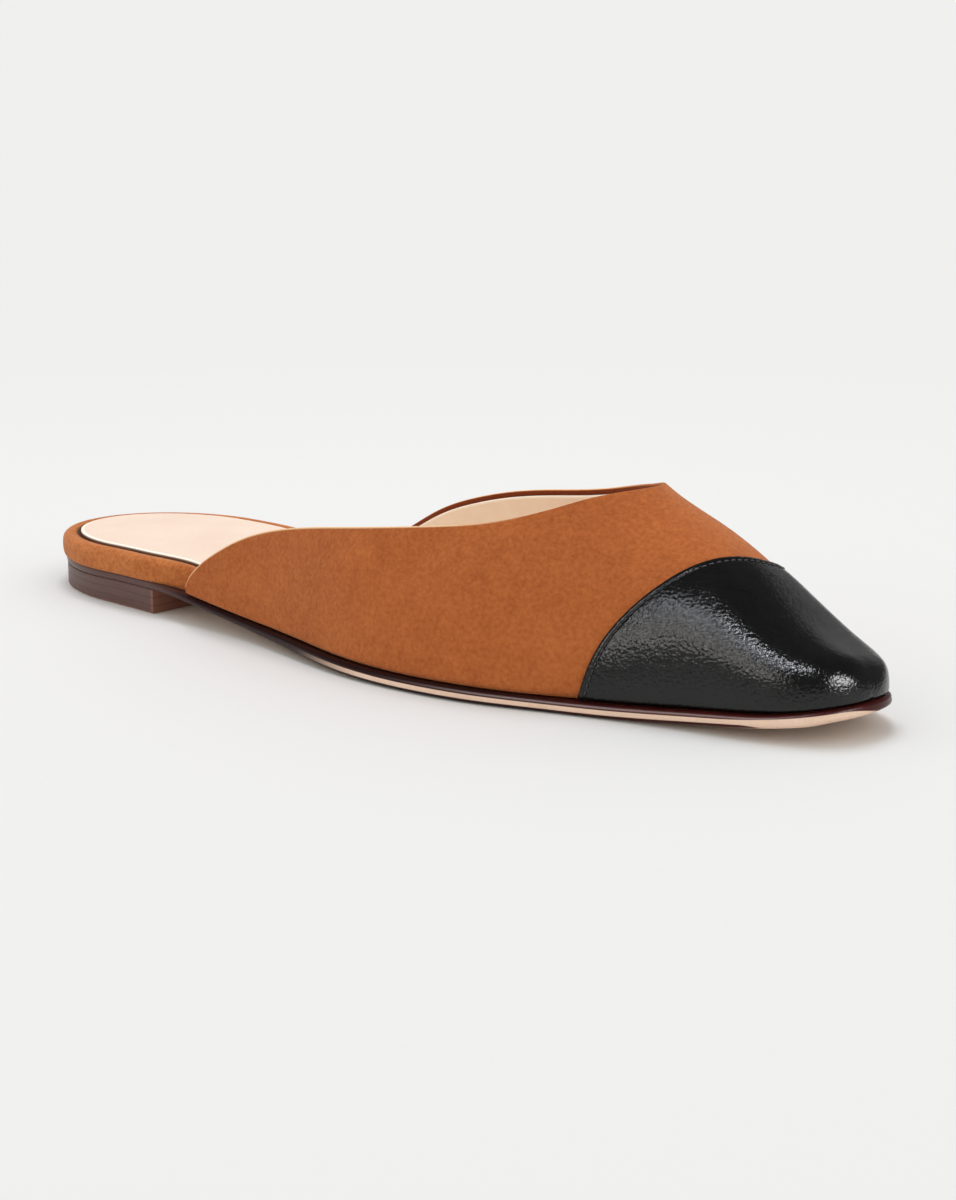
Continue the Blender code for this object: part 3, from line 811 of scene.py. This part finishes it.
def make_sock(material):
    """Thin pad with a softened cut edge and a fine pressed line a little inside it.

    Its levels are the bed's outline drawn in by rows of (inset, height, finish): 0 the leather's
    face, 1 its pale cut edge and 2 the edge's foot, darkened as painted shade.
    """
    rows = [
        (0.0, 0.0, 2.0), (-0.02, 0.35, 2.0), (0.0, 0.66, 1.8), (0.06, 0.86, 1.0),
        (0.16, 0.95, 1.0), (0.32, 1.0, 1.0), (0.6, 1.03, 1.0), (0.9, 1.05, 0.0),
        (1.16, 1.0, 0.0), (1.24, 0.99, 0.0), (1.32, 1.0, 0.0), (1.5, 1.06, 0.0), (2.4, 1.1, 0.0),
    ]
    levels = []
    for inset, height, _ in rows:
        loop = rim_loop(BED_INSET + SOCK_CLEAR + inset)
        z = seat_height(loop[:, 0]) - BED_DEPTH + SOCK_LIFT + height * SOCK_THICK
        levels.append(np.column_stack([loop, z]))

    def crown(share):
        """Fullness of the face: a flattened arch from side to side."""
        return SOCK_CROWN * (4 * share * (1 - share))**0.7

    piece = outline_stack(
        "sock_pad", levels, [row[2] for row in rows], material, "sock",
        lambda x, y, row: {"cut": np.clip(row, 0, 1), "glued": np.clip(row - 1, 0, 1)}, crown)
    return piece


def stitch_row(name, material):
    """Short stitches lying along the cap's back edge, each a small rounded rod.

    A stitch is rings round a piece of the row, thin at both ends, its middle raised in an arch.
    """
    lines = toe_lines(cap_line, np.linspace(0, 1, ROW_SAMPLES), samples=60)
    x, over = along_lines(lines, np.full((ROW_SAMPLES, 1), STITCH_INSET))
    path = upper_skin(x, over)[:, 0]
    normal = upper_normal(x, over)[:, 0]
    length = run_length(path)
    count = int((length[-1] - 2 * STITCH_END) / STITCH_PITCH)
    begin = STITCH_END + STITCH_PITCH * np.arange(count)
    turn = np.linspace(0, 2 * math.pi, STITCH_ROUND, endpoint=False)
    run = np.linspace(0, 1, STITCH_ALONG)
    thin = np.sqrt(np.clip(1 - np.abs(2 * run - 1)**4, 0, 1))
    at = begin[:, None] + STITCH_LENGTH * run[None, :]
    centre, up = (
        np.stack([np.interp(at, length, column) for column in rows.T], -1)
        for rows in (path, normal))
    ahead = np.gradient(centre, axis=1)
    ahead /= np.linalg.norm(ahead, axis=-1, keepdims=True)
    side = np.cross(ahead, up)
    groove = GAP + CAP_THICK + float(cap_relief(STITCH_INSET))
    lift = groove + STITCH_FOOT + STITCH_RISE * np.sin(math.pi * run)
    centre = centre + up * lift[None, :, None]
    ring = side[:, :, None] * np.cos(turn)[:, None] + up[:, :, None] * np.sin(turn)[:, None]
    points = centre[:, :, None] + STITCH_RADIUS * thin[None, :, None, None] * ring
    one = grid_faces(STITCH_ALONG, STITCH_ROUND, wrap=True)
    faces = (one[None] + (np.arange(count) * STITCH_ALONG * STITCH_ROUND)[:, None, None])
    return make_piece(name, points.reshape(-1, 3), faces.reshape(-1, 4), material)


# ---- finishes

def feed(tree, values, sockets):
    """Gives each socket its value: another socket, a number, or three numbers."""
    for value, socket in zip(values, sockets):
        if isinstance(value, bpy.types.NodeSocket):
            tree.links.new(value, socket)
        else:
            socket.default_value = (*value, 1) if socket.type == "RGBA" else value


def node(tree, kind, **inputs):
    """New node with its inputs fed, whose names have _ for a space here."""
    made = tree.nodes.new(kind)
    feed(tree, inputs.values(), [made.inputs[key.replace("_", " ")] for key in inputs])
    return made


def new_material(name, roughness, sheen=0.0, specular=0.5, scale=(1, 1, 1)):
    """Material with one principled shader; its tree, the shader, and the place on the mesh.

    The place is in metres in the row frame, times the scale.
    """
    material = bpy.data.materials.new(name)
    material.use_nodes = True
    tree = material.node_tree
    shader = tree.nodes["Principled BSDF"]
    names = ("Roughness", "Specular IOR Level", "Sheen Weight", "Sheen Roughness")
    feed(tree, (roughness, specular, sheen, 0.45), [shader.inputs[key] for key in names])
    place = tree.nodes.new("ShaderNodeTexCoord").outputs["Object"]
    at = node(tree, "ShaderNodeMapping", Vector=place, Scale=scale).outputs["Vector"]
    return material, tree, shader, at


def mix(tree, share, first, second):
    """Colour that goes from the first to the second by a share."""
    made = tree.nodes.new("ShaderNodeMix")
    made.data_type = "RGBA"
    feed(tree, (share, first, second), (made.inputs[0], made.inputs[6], made.inputs[7]))
    return made.outputs[2]


def mix_shaders(tree, share, first, second):
    """Shader that goes from the first to the second by a share."""
    made = tree.nodes.new("ShaderNodeMixShader")
    feed(tree, (share, first, second), made.inputs)
    return made.outputs[0]


def ramp(tree, value, low, high):
    """0 at low, 1 at high, level beyond them; low may be the larger."""
    return node(tree, "ShaderNodeMapRange", Value=value, From_Min=low, From_Max=high).outputs[0]


def ramp_to(tree, value, low, high):
    """A value from 0 to 1 turned into one from low to high."""
    return node(tree, "ShaderNodeMapRange", Value=value, To_Min=low, To_Max=high).outputs[0]


def mark(tree, name):
    """One of the mesh's marks, by its name."""
    made = tree.nodes.new("ShaderNodeAttribute")
    made.attribute_name = name
    return made.outputs["Fac"]


def bump(tree, height, distance, strength, shader):
    """Fine relief on the shader, from a height of about 0 to 1 over a distance in metres."""
    made = node(tree, "ShaderNodeBump", Height=height, Strength=strength, Distance=distance)
    tree.links.new(made.outputs["Normal"], shader.inputs["Normal"])


def new_group(name, inputs, outputs):
    """Empty node group with these inputs and outputs, each a kind by its name."""
    tree = bpy.data.node_groups.new(name, "ShaderNodeTree")
    for way, sockets in (("INPUT", inputs), ("OUTPUT", outputs)):
        for label, kind in sockets.items():
            tree.interface.new_socket(label, in_out=way, socket_type="NodeSocket" + kind)
    given = tree.nodes.new("NodeGroupInput").outputs
    return tree, given, tree.nodes.new("NodeGroupOutput").inputs


def calculate(tree, operation, *values):
    """One step of arithmetic on sockets or numbers."""
    made = tree.nodes.new("ShaderNodeMath")
    made.operation = operation
    feed(tree, values, made.inputs)
    return made.outputs[0]


def product(tree, first, *others):
    """All of the values multiplied together."""
    for other in others:
        first = calculate(tree, "MULTIPLY", first, other)
    return first


def two_tone_group():
    """Patches of two tones at a given size, with finer specks of the same two tones in them."""
    tree, given, out = new_group("two_tone", {
        "Vector": "Vector", "Patches": "Float", "Specks": "Float", "Speckle": "Float",
        "Dark": "Color", "Light": "Color",
    }, {"Color": "Color", "Mask": "Float"})
    found = []
    for size, detail in (("Patches", 3.0), ("Specks", 2.0)):
        made = node(tree, "ShaderNodeTexNoise", Vector=given["Vector"], Scale=given[size],
                    Detail=detail, Roughness=0.55)
        found.append(ramp(tree, made.outputs["Fac"], 0.3, 0.7))
    blend = tree.nodes.new("ShaderNodeMix")
    feed(tree, (given["Speckle"], *found), (blend.inputs[0], blend.inputs[2], blend.inputs[3]))
    mask = blend.outputs[0]
    colour = mix(tree, mask, given["Dark"], given["Light"])
    feed(tree, (colour, mask), (out["Color"], out["Mask"]))


def fine_height_group():
    """Height of a fine rough surface: small noise with a finer one on it."""
    tree, given, out = new_group(
        "fine_height", {"Vector": "Vector", "Size": "Float"}, {"Height": "Float"})
    at, size = given["Vector"], given["Size"]
    finer = product(tree, size, 2.7)
    broad = node(tree, "ShaderNodeTexNoise", Vector=at, Scale=size, Detail=2.0, Roughness=0.6)
    fine = node(tree, "ShaderNodeTexNoise", Vector=at, Scale=finer, Detail=1.0, Roughness=0.5)
    slight = product(tree, fine.outputs["Fac"], 0.35)
    tree.links.new(calculate(tree, "ADD", broad.outputs["Fac"], slight), out["Height"])


def place_group(tree, name, at, **values):
    """The node group of this name at a place, with values for its other inputs."""
    made = tree.nodes.new("ShaderNodeGroup")
    made.node_tree = bpy.data.node_groups[name]
    feed(tree, (at, *values.values()), [made.inputs[key] for key in ("Vector", *values)])
    return made.outputs


def tones(tree, at, patches, specks, speckle, dark, light):
    """Two tones in patches with specks in them; the sizes are noise scales, per metre."""
    return place_group(tree, "two_tone", at, Patches=patches, Specks=specks, Speckle=speckle,
                       Dark=dark, Light=light)


def grain(tree, at, size, depth, strength, shader):
    """Fine rough relief on the shader: its noise scale per metre, and its depth in metres."""
    height = place_group(tree, "fine_height", at, Size=size)["Height"]
    bump(tree, height, depth, strength, shader)


def paint(tree, shader, colour, roughness=None):
    """Gives the shader its colour, and a roughness if that varies."""
    tree.links.new(colour, shader.inputs["Base Color"])
    if roughness is not None:
        tree.links.new(roughness, shader.inputs["Roughness"])


def suede(name, light):
    """Napped suede: soft patches where the nap lies over, fine specks and a fibrous surface."""
    material, tree, shader, at = new_material(name, 0.95, 0.25, 0.12)
    shader.inputs["Sheen Tint"].default_value = (1.0, 0.72, 0.50, 1)
    nap = tones(tree, at, 230.0, 1000.0, 0.75, SUEDE_DARK, light)
    strokes = tones(tree, at, 24.0, 110.0, 0.4, SUEDE_DARK, light)
    grain(tree, at, 1500.0, 0.0003, 0.65, shader)
    return material, tree, shader, mix(tree, 0.35, nap["Color"], strokes["Color"])


def build_materials():
    """The finishes, by name; colours are linear."""
    made = {}
    two_tone_group()
    fine_height_group()

    # The upper's edge is pale along the wings: its cut edge, with a painted highlight beside it on
    # the outer face where the rounded edge catches the light. Inside, it is darkened as painted
    # shade.
    made["suede"], tree, shader, base = suede("suede", SUEDE_LIGHT)
    inside = mark(tree, "inside")
    edge = product(tree, ramp(tree, inside, 0.02, 0.12), ramp(tree, inside, 0.62, 0.52))
    # Painted highlight: a pale strip on the outer face beside the rounded edge.
    rubbed = ramp(tree, mark(tree, "from_edge"), 0.55, 0.25)
    pale = product(
        tree, calculate(tree, "MAXIMUM", edge, rubbed),
        ramp(tree, mark(tree, "along"), 176.0, 160.0), ramp(tree, inside, 0.66, 0.60))
    colour = mix(tree, pale, base, (0.86, 0.56, 0.31))
    # Painted shade: the suede's inner face, past its turned edge, is darkened.
    paint(tree, shader, mix(tree, ramp(tree, inside, 0.75, 0.9), colour, (0.19, 0.035, 0.007)))

    made["rim"], tree, shader, base = suede("rim_suede", RIM_LIGHT)
    # Painted shade: the wall of the bed the sock lies in is darkened.
    paint(tree, shader, mix(tree, mark(tree, "bed"), base, (0.06, 0.018, 0.008)))

    made["lining"], tree, shader, at = new_material("lining_leather", 0.6, specular=0.2)
    tone = tones(tree, at, 120.0, 1200.0, 0.3, (0.93, 0.74, 0.56), (0.97, 0.82, 0.65))
    lip = product(
        tree, ramp(tree, mark(tree, "inside"), 0.2, 0.4),
        ramp(tree, mark(tree, "from_edge"), 1.9, 1.7))
    paint(tree, shader, mix(tree, lip, tone["Color"], (1.0, 0.86, 0.70)))
    grain(tree, at, 1700.0, 0.00006, 0.4, shader)

    made["sock"], tree, shader, at = new_material("sock_leather", 0.8, specular=0.1)
    tone = tones(tree, at, 60.0, 1100.0, 0.35, (0.815, 0.637, 0.516), (0.872, 0.713, 0.590))
    colour = mix(tree, mark(tree, "cut"), tone["Color"], (1.0, 0.93, 0.83))
    # Painted shade: the foot of the cut edge, down by the bed, is darkened.
    paint(tree, shader, mix(tree, mark(tree, "glued"), colour, (0.20, 0.09, 0.045)))
    grain(tree, at, 1500.0, 0.00006, 0.4, shader)

    # Small rounded cells, wandering a little, with a finer roughness on them.
    made["cap"], tree, shader, at = new_material("black_grain", 0.3, specular=0.36)
    wander = node(tree, "ShaderNodeTexNoise", Vector=at, Scale=700.0, Detail=1.0)
    warped = tree.nodes.new("ShaderNodeVectorMath")
    warped.operation = "MULTIPLY_ADD"
    feed(tree, (wander.outputs["Color"], (0.0005,) * 3, at), warped.inputs)
    cells = node(tree, "ShaderNodeTexVoronoi", Vector=warped.outputs[0], Scale=1300)
    cells.feature = "SMOOTH_F1"
    cells.inputs["Smoothness"].default_value = 0.3
    rough = product(tree, place_group(tree, "fine_height", at, Size=2200.0)["Height"], 0.7)
    pebble = calculate(tree, "SUBTRACT", rough, cells.outputs["Distance"])
    tone = tones(tree, at, 300.0, 1900.0, 0.6, (0.004,) * 3, (0.009,) * 3)
    paint(tree, shader, tone["Color"], ramp_to(tree, tone["Mask"], 0.11, 0.20))
    bump(tree, pebble, 0.0001, 0.7, shader)

    made["thread"], tree, shader, at = new_material("black_thread", 0.5, 0.2)
    tone = tones(tree, at, 900.0, 4000.0, 0.5, (0.004,) * 3, (0.02,) * 3)
    paint(tree, shader, tone["Color"])

    # Natural leather below, ink above it that is browner at the heel and redder at the toe. A pale
    # painted highlight runs along the upper part of the ink, and below the natural band the edge's
    # lowest part keeps the ink's colour as painted shade.
    made["sole"], tree, shader, at = new_material("sole_leather", 0.35, specular=0.2)
    natural = tones(tree, at, 150.0, 1300.0, 0.4, (0.84, 0.58, 0.43), (0.94, 0.70, 0.55))
    inked = tones(tree, at, 300.0, 1800.0, 0.5, (0.028, 0.0015, 0.0015), (0.085, 0.009, 0.007))
    ink_and_painted_light = mix(tree, mark(tree, "toeward"), (0.021, 0.005, 0.005), inked["Color"])
    ink_and_painted_light = mix(tree, mark(tree, "back"), ink_and_painted_light, (0.115, 0.058, 0.050))
    # Painted highlight: a pale line along the ink.
    ink_and_painted_light = mix(tree, mark(tree, "rubbed"), ink_and_painted_light, (0.28, 0.185, 0.18))
    share = mark(tree, "band")
    # Painted shade: below the bare band, the lowest part of the edge keeps the ink's dark colour.
    bare = product(
        tree, ramp(tree, share, 0.66, 0.62), ramp(tree, mark(tree, "bare"), 0.28, 0.33),
        mark(tree, "fore"))
    under = calculate(tree, "MAXIMUM", bare, ramp(tree, share, 0.01, 0.0))
    paint(tree, shader, mix(tree, under, ink_and_painted_light, natural["Color"]), ramp_to(tree, under, 0.32, 0.6))
    grain(tree, at, 1100.0, 0.00005, 0.4, shader)

    made["heel"], tree, shader, at = new_material(
        "heel_leather", 0.45, specular=0.25, scale=(1, 1, 9))
    tone = tones(tree, at, 90.0, 700.0, 0.4, (0.105, 0.052, 0.044), (0.165, 0.090, 0.078))
    colour = mix(tree, mark(tree, "breast"), tone["Color"], (0.24, 0.105, 0.072))
    # Lighter in a band at the foot.
    colour = mix(tree, mark(tree, "worn"), colour, (0.30, 0.15, 0.11))
    seams = product(tree, mark(tree, "seam"), 0.4)
    colour = mix(tree, seams, colour, (0.03, 0.014, 0.012))
    paint(tree, shader, colour, ramp_to(tree, tone["Mask"], 0.34, 0.5))
    grain(tree, at, 600.0, 0.00008, 0.4, shader)
    return made


# ---- stage

def make_floor():
    """Wide pale floor that fades into plain brightness away from the shoe."""
    mesh = bpy.data.meshes.new("floor")
    far = 30.0
    corners = [(-far, -far, 0), (far, -far, 0), (far, far, 0), (-far, far, 0)]
    mesh.from_pydata(corners, [], [(0, 1, 2, 3)])
    floor = add_object("floor", mesh)
    material, tree, shader, at = new_material("floor", 0.9, specular=0.1)
    shader.inputs["Base Color"].default_value = (*FLOOR, 1)
    plain = node(tree, "ShaderNodeEmission", Color=BACKGROUND, Strength=1.0)
    far_off = tree.nodes.new("ShaderNodeVectorMath")
    far_off.operation = "LENGTH"
    tree.links.new(at, far_off.inputs[0])
    away = ramp(tree, far_off.outputs["Value"], *FLOOR_FADE)
    surface = mix_shaders(tree, away, shader.outputs[0], plain.outputs[0])
    tree.links.new(surface, tree.nodes["Material Output"].inputs["Surface"])
    mesh.materials.append(material)


def make_world():
    """Even studio light: plain behind the shoe, dimmer overhead than low down in reflections."""
    world = bpy.data.worlds.new("studio")
    world.use_nodes = True
    tree = world.node_tree
    sky = tree.nodes["Background"]
    sky.inputs["Color"].default_value = (*WORLD_COLOUR, 1)
    sky.inputs["Strength"].default_value = WORLD_LIGHT
    way = tree.nodes.new("ShaderNodeTexCoord").outputs["Generated"]
    height = node(tree, "ShaderNodeSeparateXYZ", Vector=way).outputs["Z"]
    glow = ramp_to(tree, ramp(tree, height, 0.55, 0.15), GLOSS_HIGH, GLOSS_LOW)
    glint = node(tree, "ShaderNodeBackground", Strength=glow)
    seen = node(tree, "ShaderNodeBackground", Color=BACKGROUND, Strength=1.0)
    path = tree.nodes.new("ShaderNodeLightPath").outputs
    gloss = mix_shaders(tree, path["Is Glossy Ray"], sky.outputs[0], glint.outputs[0])
    surface = mix_shaders(tree, path["Is Camera Ray"], gloss, seen.outputs[0])
    tree.links.new(surface, tree.nodes["World Output"].inputs["Surface"])
    bpy.context.scene.world = world


def aim(made, place, target):
    """Puts a lamp or a camera at a place (m), facing the target."""
    made.location = place
    made.rotation_euler = Vector(target - place).to_track_quat("-Z", "Y").to_euler()


def softbox(name, azimuth, elevation, distance, size, watts, colour):
    """Rectangular light that faces the shoe from a direction (degrees) and a distance (m).

    The one overhead lights surfaces and has no reflection; the others show only in reflections.
    """
    a, e = math.radians(azimuth), math.radians(elevation)
    place = distance * np.array([math.cos(a) * math.cos(e), math.sin(a) * math.cos(e), math.sin(e)])
    data = bpy.data.lights.new(name, "AREA")
    data.shape = "RECTANGLE"
    data.size, data.size_y = size
    data.energy = watts
    data.color = colour
    lamp = add_object(name, data)
    aim(lamp, place, np.array(LIT_POINT))
    lamp.visible_diffuse = name == "overhead"
    lamp.visible_glossy = name != "overhead"


def make_camera():
    """Long lens, low and to the lateral side of the toe."""
    data = bpy.data.cameras.new("camera")
    data.sensor_width = SENSOR
    data.lens = LENS
    camera = add_object("camera", data)
    aim(camera, (np.array(CAMERA_AT) - CENTRE) * MM, (np.array(CAMERA_TO) - CENTRE) * MM)
    bpy.context.scene.camera = camera


bpy.context.scene.view_settings.view_transform = "Standard"
finish = build_materials()
make_outsole(finish["sole"])
make_heel(finish["heel"])
make_rim(finish["rim"])
make_sock(finish["sock"])
toe_places = np.linspace(0, 1, TOE_ACROSS + 1)
line_sheet(
    "suede_upper", collar_lines(UNDER_CAP),
    turned_profile(0.0, -SUEDE_THICK, SUEDE_ROUND, EDGE_AWAY, COLLAR_STEPS),
    level, 1.0, finish["suede"], ("upper",))
line_sheet(
    "collar_lining", collar_lines(0.0),
    turned_profile(-LINING_AT, -WALL, SKIN_ROUND, EDGE_AWAY, COLLAR_STEPS, LINING_DROP),
    level, 0.0, finish["lining"])
line_sheet(
    "toe_lining", toe_lines(lambda over: cap_line(over) - LINING_LAP, toe_places),
    turned_profile(-LINING_AT, -WALL, SKIN_ROUND, EDGE_AWAY, TOE_STEPS),
    level, 0.0, finish["lining"], to_toe=True)
line_sheet(
    "cap_leather", toe_lines(cap_line, toe_places),
    turned_profile(GAP + CAP_THICK, TOUCH, SKIN_ROUND, CAP_AWAY, TOE_STEPS),
    cap_relief, 1.0, finish["cap"], ("toe_cap",), to_toe=True)
stitch_row("cap_stitches", finish["thread"])
make_floor()
make_world()
for name, values in SOFTBOXES.items():
    softbox(name, *values)
make_camera()
